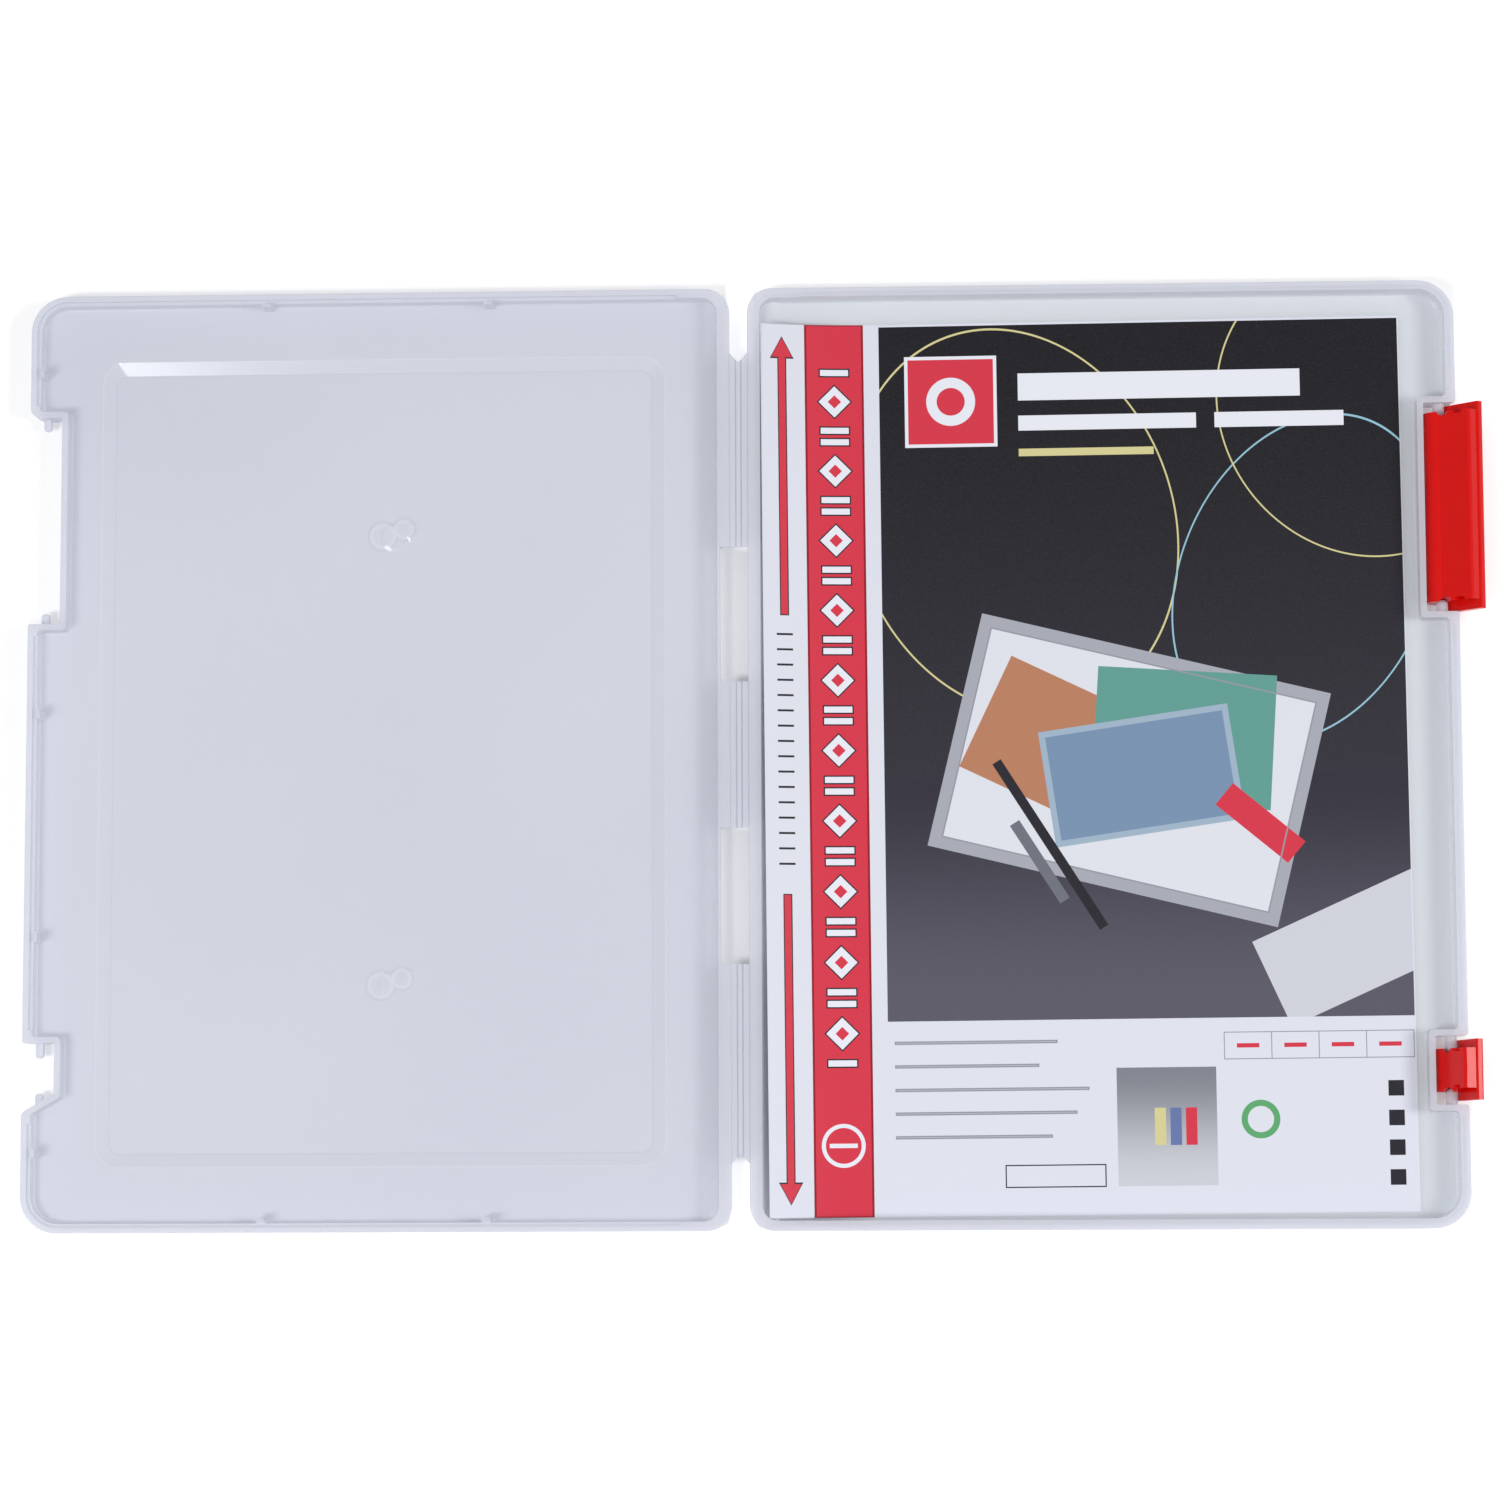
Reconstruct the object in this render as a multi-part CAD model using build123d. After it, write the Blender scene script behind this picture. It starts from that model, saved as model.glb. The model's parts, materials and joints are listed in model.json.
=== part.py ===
from build123d import *
from math import cos, pi, radians, sin, sqrt, tan
import os

os.makedirs("parts", exist_ok=True)

# A thin plastic case for A4 papers, lying open and flat. All lengths are in millimetres.
# The pieces are drawn with x as the distance from the fold line, y along the fold line and z up from the
# table. The lid is drawn on the same side as the base and then mirrored across the fold line.
# Last, everything is shifted so that the origin is under the middle of the base tray.

# Tray
tray_length = 307.0
tray_depth = 230.0
tray_height = 10.0
rim_drop = 0.1
front_corner_radius = 12.0
hinge_corner_radius = 8.0
floor_thickness = 1.8
lip_reach = 1.2
lip_height = 2.9
lip_edge_radius = 0.4
base_wall = 2.0
lid_wall = 1.8
outer_bottom_radius = 3.2
inner_bottom_radius = 0.8

# Living hinge
hinge_half_gap = 2.9
flange_thickness = 1.7
cove_edge = 4.1
cove_drop = 0.6
window_start = 23.8
window_end = 68.0
window_cut_back = 3.3
web_thickness = 1.1
web_fold_gap = 0.05
web_land = 0.6
web_groove_width = 0.4
web_film = 0.4
web_end_inset = 21.4
web_end_slant = 3.2

# Seam between the closed trays
tongue_inset = 2.2
tongue_width = 1.0
tongue_rise = 1.3
seam_clearance = 0.3
seam_start = 17.0
tab_width = 3.0
tab_thickness = 1.0
tab_rise = 1.5
tab_relief = 1.6
tab_gap = 0.4
side_tab_places = (79.1, 152.1)
front_tab_places = (-127.8, -58.0, 15.0, 127.8)

# Raised panel and gate marks of the lid
panel_step = 1.2
panel_hinge_inset = 25.95
panel_front_inset = 27.15
panel_side_inset = 25.4
panel_ramp = 4.4
panel_corner_radius = 3.5
panel_corner_growth = 0.3
gate_spacing = 146.9
gate_shift = -4.4
gate_radius = 4.9
gate_lobe_radius = 3.5
gate_lobe_across = 5.8
gate_lobe_along = 1.9
gate_height = 0.35
gate_slope_width = 1.2

# Notches for the clips
notch_depth = 10.5
notch_wall = 2.0
large_notch_inset = 40.4
large_notch_length = 68.4
small_notch_inset = 39.3
small_notch_length = 22.0
notch_floor_radius = 0.8
notch_mouth_radius = 1.0
bay_floor_radius = 1.5
bay_front_radius = 1.2
lid_large_mouth_radius = 3.5
lid_small_mouth_radius = 2.5
lid_small_floor_end = 5.6
lid_small_mouth_end = -0.5
notch_rim_clearance = 4.0

# Clips, their pivot pegs on the base and the latch pegs on the lid
# Places on a clip are measured from its pivot, outwards from the case and up, with the clip closed.
pivot_inset = 5.1
pivot_height = 5.2
pivot_peg_radius = 1.9
pivot_peg_hold = 1.0
pivot_running_fit = 0.05
bore_end_clearance = 0.3
snap_slot_width = 3.2
snap_slot_direction = 127.0
latch_peg_radius = 1.45
latch_peg_hold = 0.7
latch_clearance = 0.15
peg_dome_share = 0.75
large_clip_end_clearance = 0.4
small_clip_end_clearance = 1.3
clip_outer_face = 4.8
clip_inner_face = 2.4
clip_height = 14.6
clip_edge_radius = 0.6
wing_start = -1.2
wing_edge_radius = 0.3
barrel_radius = 5.0
barrel_end_step = 2.8
block_start_place = -3.9
block_start_height = 2.8
block_tip_place = -1.4
block_top = 14.0
block_tip_radius = 1.0
block_end_step = 2.8
block_side_clearance = 0.4
latch_height = 9.8
latch_end_clearance = 0.3
large_clip_opening = 43.0
small_clip_opening = 17.0

# Insert sheet
sheet_thickness = 0.25
sheet_hinge_clearance = 1.2
sheet_front_clearance = 3.8
sheet_end_clearance = 4.5
sheet_turn = 0.4
sheet_shift = -3.0
sheet_rise = 6.6
sheet_rise_length = 37.0
sheet_rise_steps = 8

# Drawing aids: how far shapes run into each other, how far cuts run on, and what counts as level
weld = 0.5
spare = 20.0
far = 1000.0
touch = 0.001

# Sizes that follow from the ones above
rim_top = tray_height - rim_drop
front_edge = hinge_half_gap + tray_depth
half_length = tray_length / 2
tray_middle = hinge_half_gap + tray_depth / 2
lip_bottom = rim_top - lip_height
cove_centre_height = rim_top - cove_drop
web_outer_end = half_length - web_end_inset
notch_floor = front_edge - notch_depth
large_notch = (half_length - large_notch_inset - large_notch_length, half_length - large_notch_inset)
small_notch = (small_notch_inset - half_length, small_notch_inset + small_notch_length - half_length)
pivot_distance = front_edge - pivot_inset
latch_peg_height = 2 * tray_height - (pivot_height + latch_height)


def rounded_face(corners):
    """Flat face through (x, y, radius) corners in counter-clockwise order, each rounded by its own radius."""
    rounds = []
    for index, (x, y, radius) in enumerate(corners):
        before = corners[index - 1]
        after = corners[(index + 1) % len(corners)]
        corner = Vector(x, y)
        to_before = (Vector(before[0], before[1]) - corner).normalized()
        to_after = (Vector(after[0], after[1]) - corner).normalized()
        half_angle = radians(to_before.get_angle(to_after)) / 2
        cut = radius / tan(half_angle)
        middle = (to_before + to_after).normalized() * (radius / sin(half_angle) - radius)
        rounds.append((corner + to_before * cut, corner + middle, corner + to_after * cut, radius))
    edges = []
    for index, (start, middle, end, radius) in enumerate(rounds):
        if radius > 0:
            edges.append(ThreePointArc(start, middle, end))
        edges.append(Line(end, rounds[(index + 1) % len(rounds)][0]))
    return make_face(edges)


def prism(corners, bottom, top):
    """Upright solid over a rounded outline, from one height to another."""
    return Pos(0, 0, bottom) * extrude(rounded_face(corners), top - bottom, dir=(0, 0, 1))


def block(x_range, y_range, z_range):
    """Plain box between two places on each axis."""
    size = [b - a for a, b in (x_range, y_range, z_range)]
    centre = [(a + b) / 2 for a, b in (x_range, y_range, z_range)]
    return Pos(*centre) * Box(*size)


def soften(solid, height, radius):
    """Round all the edges of a solid that lie at one height."""
    edges = solid.edges().filter_by_position(Axis.Z, height - touch, height + touch)
    return fillet(edges, radius)


def side_prism(edges, half_width):
    """Solid over an outline in the x-z plane, the same distance to both sides of y = 0."""
    return extrude(make_face(edges), half_width, dir=(0, 1, 0), both=True)


def outline(inset):
    """Plan outline of a tray rim, moved inwards."""
    near = hinge_half_gap + inset
    front = front_edge - inset
    side = half_length - inset
    hinge_radius = hinge_corner_radius - inset
    front_radius = front_corner_radius - inset
    return [
        (near, -side, hinge_radius),
        (front, -side, front_radius),
        (front, side, front_radius),
        (near, side, hinge_radius),
    ]


def hinge_cove(radius, centre_x, near, near_bottom):
    """Region inside the rounded hinge wall: a level flange underside, an arc down to the floor, and on."""
    middle = centre_x - radius * cos(pi / 4), cove_centre_height - radius * sin(pi / 4)
    arc_rise = cove_centre_height - near_bottom
    arc_x = centre_x - sqrt(radius ** 2 - arc_rise ** 2)
    floor = cove_centre_height - radius
    edges = [
        ThreePointArc((arc_x, 0, near_bottom), (middle[0], 0, middle[1]), (centre_x, 0, floor)),
        Line((centre_x, 0, floor), (far, 0, floor)),
        Line((far, 0, floor), (far, 0, far)),
        Line((far, 0, far), (near, 0, far)),
        Line((near, 0, far), (near, 0, near_bottom)),
    ]
    if arc_x - near > touch:
        edges.append(Line((near, 0, near_bottom), (arc_x, 0, near_bottom)))
    return side_prism(edges, tray_length)


def notch_outline(ends, mouth_radii, floor_ends=None):
    """Plan outline of a notch, open to the front, with a rounded mouth. The floor may be narrower."""
    floor_low, floor_high = floor_ends or ends
    low, high = ends
    return [
        (notch_floor, floor_low, notch_floor_radius),
        (front_edge, low, mouth_radii[0]),
        (front_edge, low - spare, 0),
        (front_edge + spare, low - spare, 0),
        (front_edge + spare, high + spare, 0),
        (front_edge, high + spare, 0),
        (front_edge, high, mouth_radii[1]),
        (notch_floor, floor_high, notch_floor_radius),
    ]


def notch_bay(ends, front, floor_ends=None):
    """Corners by which the inside of a tray passes round a notch, from low to high y."""
    floor_low, floor_high = floor_ends or ends
    low, high = ends
    slant = (floor_low - low) / notch_depth
    shift = notch_wall * sqrt(1 + slant ** 2)
    bay_floor = notch_floor - notch_wall
    low_at_floor = floor_low + slant * notch_wall - shift
    low_at_front = floor_low - slant * (front - notch_floor) - shift
    return [
        (front, low_at_front, bay_front_radius),
        (bay_floor, low_at_floor, bay_floor_radius),
        (bay_floor, floor_high + notch_wall, bay_floor_radius),
        (front, high + notch_wall, bay_front_radius),
    ]


def inside_outline(wall_inset, small_ends, small_floor_ends):
    """Plan outline of the hollow of a tray, round both notches."""
    near = hinge_half_gap + cove_edge
    front = front_edge - wall_inset
    side = half_length - wall_inset
    return [
        (near, -side, hinge_corner_radius - wall_inset),
        (front, -side, front_corner_radius - wall_inset),
        *notch_bay(small_ends, front, small_floor_ends),
        *notch_bay(large_notch, front),
        (front, side, front_corner_radius - wall_inset),
        (near, side, hinge_corner_radius - wall_inset),
    ]


def tray_shell(wall_inset, outer_floor, inner_floor, hollow_outline):
    """Floor, walls, rim lip and hinge flange of a tray, without its notches."""
    body = soften(prism(outline(lip_reach), outer_floor, lip_bottom + weld), outer_floor, outer_bottom_radius)
    lip = soften(prism(outline(0), lip_bottom, rim_top), rim_top, lip_edge_radius)
    near = hinge_half_gap + cove_edge
    inner_radius = cove_centre_height - inner_floor
    outer_radius = cove_centre_height - outer_floor
    cove_centre = near + inner_radius
    envelope = hinge_cove(outer_radius, cove_centre, 0, rim_top - flange_thickness)
    hollow = soften(prism(hollow_outline, inner_floor, far), inner_floor, inner_bottom_radius)
    hollow = hollow & hinge_cove(inner_radius, cove_centre, near, cove_centre_height)
    return ((body + lip) & envelope) - hollow


def seam_ring(inset, width, bottom, top, start, notch_spare):
    """Ring along the sides and front, broken at the notches."""
    ring = prism(outline(inset), bottom, top) - prism(outline(inset + width), bottom - weld, top + weld)
    ring -= block((-far, hinge_half_gap + start), (-far, far), (-far, far))
    for low, high in (small_notch, large_notch):
        ring -= block((tray_middle, far), (low - notch_spare, high + notch_spare), (-far, far))
    return ring


def peg(x, y, z, radius, reach, direction):
    """Peg along y with a domed tip."""
    length = reach + notch_wall / 2
    shape = Cylinder(radius, length)
    tip = shape.edges().sort_by(Axis.Z)[-1]
    shape = fillet(tip, radius * peg_dome_share)
    shape = Pos(0, 0, length / 2 - notch_wall / 2) * shape
    return Pos(x, y, z) * Rot(-90 * direction, 0, 0) * shape


def lid_small_side(distance):
    """Place of the slanted lower side of the small lid notch at a distance from the fold line."""
    low_floor = small_notch[0] + lid_small_floor_end
    low_mouth = small_notch[0] + lid_small_mouth_end
    return low_floor + (low_mouth - low_floor) * (distance - notch_floor) / notch_depth


def clip_ends(ends):
    """Ends of a clip's wall along y, in its notch."""
    clearance = small_clip_end_clearance if ends == small_notch else large_clip_end_clearance
    return ends[0] + clearance, ends[1] - clearance


def barrel_ends(ends):
    """Ends of a clip's barrel along y."""
    low, high = clip_ends(ends)
    return low + barrel_end_step, high - barrel_end_step


def block_ends(ends):
    """Ends of a clip's block along y, clear of the slanted side of the lid at the small clip."""
    low, high = clip_ends(ends)
    low += block_end_step
    high -= block_end_step
    if ends == small_notch:
        low = max(low, lid_small_side(pivot_distance + block_start_place) + block_side_clearance)
    return low, high


def make_base_tray():
    wall_inset = lip_reach + base_wall
    hollow = inside_outline(wall_inset, small_notch, None)
    tray = tray_shell(wall_inset, 0, floor_thickness, hollow)
    tray += seam_ring(tongue_inset, tongue_width, lip_bottom, rim_top + tongue_rise,
                      seam_start + seam_clearance, notch_rim_clearance + seam_clearance)
    for ends in (small_notch, large_notch):
        mouth = (notch_mouth_radius, notch_mouth_radius)
        tray -= prism(notch_outline(ends, mouth), -spare, far)
        reach = barrel_ends(ends)[0] - ends[0] + pivot_peg_hold
        for place, direction in zip(ends, (1, -1)):
            tray += peg(pivot_distance, place, pivot_height, pivot_peg_radius, reach, direction)
    return tray


def make_lid_tray():
    wall_inset = lip_reach + lid_wall
    low_floor = small_notch[0] + lid_small_floor_end
    low_mouth = small_notch[0] + lid_small_mouth_end
    small_ends = (low_mouth, small_notch[1])
    small_floor_ends = (low_floor, small_notch[1])
    inner_floor = floor_thickness + panel_step
    hollow = inside_outline(wall_inset, small_ends, small_floor_ends)
    tray = tray_shell(wall_inset, panel_step, inner_floor, hollow)
    tray += lid_panel(0)
    tray -= lid_panel(floor_thickness)
    tray += gate_marks()
    groove_inset = tongue_inset - seam_clearance
    tray -= seam_ring(groove_inset, wall_inset + weld - groove_inset,
                      rim_top - tongue_rise - seam_clearance, far, seam_start, notch_rim_clearance)
    tray -= prism(notch_outline(large_notch, (notch_floor_radius, lid_large_mouth_radius)), -spare, far)
    small_outline = notch_outline(small_ends, (lid_small_mouth_radius, notch_mouth_radius), small_floor_ends)
    tray -= prism(small_outline, -spare, far)
    for ends, low_side in ((small_notch, lid_small_side(pivot_distance)), (large_notch, large_notch[0])):
        block_low, block_high = block_ends(ends)
        low_reach = block_low + latch_peg_hold - low_side
        high_reach = ends[1] - block_high + latch_peg_hold
        tray += peg(pivot_distance, low_side, latch_peg_height, latch_peg_radius, low_reach, 1)
        tray += peg(pivot_distance, ends[1], latch_peg_height, latch_peg_radius, high_reach, -1)
    for tab in lid_tabs(wall_inset, inner_floor):
        tray += tab
    edge = hinge_half_gap + window_cut_back
    for side in (-1, 1):
        ends = sorted((side * window_start, side * window_end))
        tray -= block((-far, edge), ends, (-far, far))
    return mirror(tray, about=Plane.YZ)


def lid_panel(lift):
    """Shallow plate with ramped edges, reaching below the floor of the lid; lifted, it is its own hollow."""
    def panel_corners(grow):
        near = hinge_half_gap + panel_hinge_inset - grow
        front = front_edge - panel_front_inset + grow
        side = half_length - panel_side_inset + grow
        radius = panel_corner_radius + grow * panel_corner_growth
        return [(near, -side, radius), (front, -side, radius), (front, side, radius), (near, side, radius)]
    upper = Pos(0, 0, panel_step + lift) * rounded_face(panel_corners(panel_ramp))
    lower = Pos(0, 0, lift) * rounded_face(panel_corners(0))
    return loft([lower, upper], ruled=True)


def gate_marks():
    """Low round mounds with one small lobe, where the plastic flowed into the mould."""
    height = gate_height + weld
    root_growth = gate_slope_width * weld / gate_height

    def mound(radius):
        return Cone(radius + root_growth, radius - gate_slope_width, height)
    mark = mound(gate_radius) + Pos(-gate_lobe_across, gate_lobe_along, 0) * mound(gate_lobe_radius)
    centre_height = floor_thickness + gate_height - height / 2
    return [Pos(tray_middle + gate_shift, side * gate_spacing / 2, centre_height) * mark for side in (-1, 1)]


def lid_tabs(wall_inset, inner_floor):
    """Ribs on the inside of the lid walls, each with a finger that stands above the rim."""
    finger_outer = tongue_inset + tongue_width + tab_gap
    finger_inner = finger_outer + tab_thickness
    rib_top = rim_top - tab_relief
    finger_top = rim_top + tab_rise
    bottom = inner_floor - floor_thickness / 2
    tabs = []
    for place in side_tab_places:
        x_range = (hinge_half_gap + place - tab_width / 2, hinge_half_gap + place + tab_width / 2)
        for side in (-1, 1):
            rib_y = sorted((side * (half_length - wall_inset + weld), side * (half_length - finger_inner)))
            finger_y = sorted((side * (half_length - finger_outer), side * (half_length - finger_inner)))
            rib = block(x_range, rib_y, (bottom, rib_top))
            tabs.append(rib + block(x_range, finger_y, (bottom, finger_top)))
    for place in front_tab_places:
        y_range = (place - tab_width / 2, place + tab_width / 2)
        rib_x = (front_edge - finger_inner, front_edge - wall_inset + weld)
        finger_x = (front_edge - finger_inner, front_edge - finger_outer)
        rib = block(rib_x, y_range, (bottom, rib_top))
        tabs.append(rib + block(finger_x, y_range, (bottom, finger_top)))
    return tabs


def make_web_half(low, high):
    """Half of one web of the living hinge, from the rim edge of a tray almost to the fold line."""
    def end_place(place, x):
        if abs(place) < web_outer_end:
            return place
        outer = web_outer_end - web_end_slant * (hinge_half_gap - x) / hinge_half_gap
        return outer if place > 0 else -outer
    corners = [(web_fold_gap, end_place(low, 0), 0), (hinge_half_gap, end_place(low, hinge_half_gap), 0),
               (hinge_half_gap, end_place(high, hinge_half_gap), 0), (web_fold_gap, end_place(high, 0), 0)]
    half = prism(corners, rim_top - web_thickness, rim_top)
    groove = (web_fold_gap + web_land, web_fold_gap + web_land + web_groove_width)
    return half - block(groove, (-far, far), (rim_top - web_thickness + web_film, far))


def make_clip(ends, opening):
    """Clip in its closed position about the pivot, then opened and set on its pegs."""
    clip = extrude_along_y(clip_wall_section(), *clip_ends(ends))
    clip += extrude_along_y(barrel_section(), *barrel_ends(ends))
    clip += extrude_along_y(block_section(), *block_ends(ends))
    for place, direction in zip(block_ends(ends), (1, -1)):
        clip -= latch_slot(place, direction)
    for place, direction in zip(barrel_ends(ends), (1, -1)):
        clip -= pivot_bore(place, direction)
    return Pos(pivot_distance, 0, pivot_height) * Rot(0, opening, 0) * clip


def extrude_along_y(section, low, high):
    """Solid over a section drawn in the x-z plane."""
    return Pos(0, low, 0) * extrude(section, high - low, dir=(0, 1, 0))


def upright(corners):
    """Rounded outline drawn with its second coordinate going up."""
    return Rot(90, 0, 0) * rounded_face(corners)


def clip_wall_section():
    return upright([
        (clip_inner_face, wing_start, wing_edge_radius),
        (clip_outer_face, wing_start, wing_edge_radius),
        (clip_outer_face, clip_height, clip_edge_radius),
        (clip_inner_face, clip_height, clip_edge_radius),
    ])


def barrel_section():
    return Rot(90, 0, 0) * make_face(CenterArc((0, 0), barrel_radius, 0, 360))


def block_section():
    """Block between the barrel and the wall, with an inner face that leans towards the wall."""
    middle = (clip_inner_face + clip_outer_face) / 2
    return upright([(block_start_place, block_start_height, 0), (0, 0, 0), (middle, 0, 0),
                    (middle, block_top, 0), (block_tip_place, block_top, block_tip_radius)])


def latch_slot(place, direction):
    """Curved slot in the end of the block, in which a latch peg of the lid runs as the clip turns."""
    depth = latch_peg_hold + latch_end_clearance
    y_range = sorted((place - direction * weld, place + direction * depth))
    length = y_range[1] - y_range[0]
    half_width = latch_peg_radius + latch_clearance
    track = Cylinder(latch_height + half_width, length) - Cylinder(latch_height - half_width, length)
    track = Rot(90, 0, 0) * track
    track &= block((-far, 0), (-far, far), (0, far))
    track += Pos(0, 0, latch_height) * Rot(90, 0, 0) * Cylinder(half_width, length)
    return Pos(0, sum(y_range) / 2, 0) * track


def pivot_bore(place, direction):
    """Bore in the end of the barrel for a pivot peg, with a narrower round-ended slot to snap it in."""
    depth = pivot_peg_hold + bore_end_clearance
    y_range = sorted((place - direction * weld, place + direction * depth))
    bore = Pos(0, sum(y_range) / 2, 0) * Rot(90, 0, 0)
    bore *= Cylinder(pivot_peg_radius + pivot_running_fit, y_range[1] - y_range[0])
    round_end = depth - snap_slot_width / 2
    slot = Pos(-barrel_radius, place + direction * round_end, 0) * Rot(0, 90, 0)
    slot *= Cylinder(snap_slot_width / 2, 2 * barrel_radius)
    return bore + Rot(0, 180 - snap_slot_direction, 0) * slot


def make_insert_sheet():
    """Printed sheet: flat on the floor, with its hinge edge leaning up on the rounded wall."""
    left = hinge_half_gap + cove_edge + sheet_hinge_clearance
    right = notch_floor - notch_wall - sheet_front_clearance
    half_sheet = half_length - lip_reach - base_wall - sheet_end_clearance
    flat_from = left + sheet_rise_length
    lower = []
    upper = []
    for step in range(sheet_rise_steps + 1):
        share = 1 - step / sheet_rise_steps
        height = floor_thickness + sheet_rise * share ** 2
        x = flat_from - sheet_rise_length * share
        lower.append((x, 0, height))
        upper.append((x, 0, height + sheet_thickness))
    edges = [
        Spline(*lower, tangents=((1, 0, -2 * sheet_rise / sheet_rise_length), (1, 0, 0))),
        Line(lower[-1], (right, 0, floor_thickness)),
        Line((right, 0, floor_thickness), (right, 0, floor_thickness + sheet_thickness)),
        Line((right, 0, floor_thickness + sheet_thickness), upper[-1]),
        Spline(*upper, tangents=((1, 0, -2 * sheet_rise / sheet_rise_length), (1, 0, 0))),
        Line(upper[0], lower[0]),
    ]
    sheet = side_prism(edges, half_sheet)
    centre = Vector((left + right) / 2, sheet_shift, 0)
    return Pos(centre) * Rot(0, 0, sheet_turn) * Pos(-centre.X, 0, 0) * sheet


def place_in_part(piece):
    """Shift from the fold line to the part's own origin."""
    return Pos(-tray_middle, 0, 0) * piece


def save(name, piece):
    solids = place_in_part(piece)
    export_step(solids, f"parts/{name}.step")


save("base_tray", make_base_tray())
save("lid_tray", make_lid_tray())
webs = {
    "left": (-web_outer_end, -window_end),
    "middle": (-window_start, window_start),
    "right": (window_end, web_outer_end),
}
for name, (low, high) in webs.items():
    save(f"base_web_{name}", make_web_half(low, high))
    save(f"lid_web_{name}", mirror(make_web_half(low, high), about=Plane.YZ))
save("large_clip", make_clip(large_notch, large_clip_opening))
save("small_clip", make_clip(small_notch, small_clip_opening))
save("insert_sheet", make_insert_sheet())
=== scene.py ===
import json
from math import atan2, radians

import bpy
from mathutils import Euler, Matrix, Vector


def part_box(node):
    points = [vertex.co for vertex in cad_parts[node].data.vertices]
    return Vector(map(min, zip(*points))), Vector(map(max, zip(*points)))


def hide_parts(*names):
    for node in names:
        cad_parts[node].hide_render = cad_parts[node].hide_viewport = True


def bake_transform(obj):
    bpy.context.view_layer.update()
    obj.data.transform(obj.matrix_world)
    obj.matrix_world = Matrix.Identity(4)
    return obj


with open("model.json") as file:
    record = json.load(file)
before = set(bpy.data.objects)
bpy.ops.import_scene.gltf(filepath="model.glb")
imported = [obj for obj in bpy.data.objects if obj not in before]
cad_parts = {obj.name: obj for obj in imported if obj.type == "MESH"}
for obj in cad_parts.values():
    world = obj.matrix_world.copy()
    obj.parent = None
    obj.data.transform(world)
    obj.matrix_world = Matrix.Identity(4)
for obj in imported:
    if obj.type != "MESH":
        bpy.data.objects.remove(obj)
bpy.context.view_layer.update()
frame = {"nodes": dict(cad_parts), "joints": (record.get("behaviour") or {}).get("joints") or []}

mm = 0.001

# Places that the looks share with the frame
sheet_low, sheet_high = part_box("insert_sheet")
fold = next(joint for joint in frame["joints"] if joint["name"] == "lid_hinge")["pos_m"]

# The range that most values of a noise lie in
noise_range = (0.3, 0.7)


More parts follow.
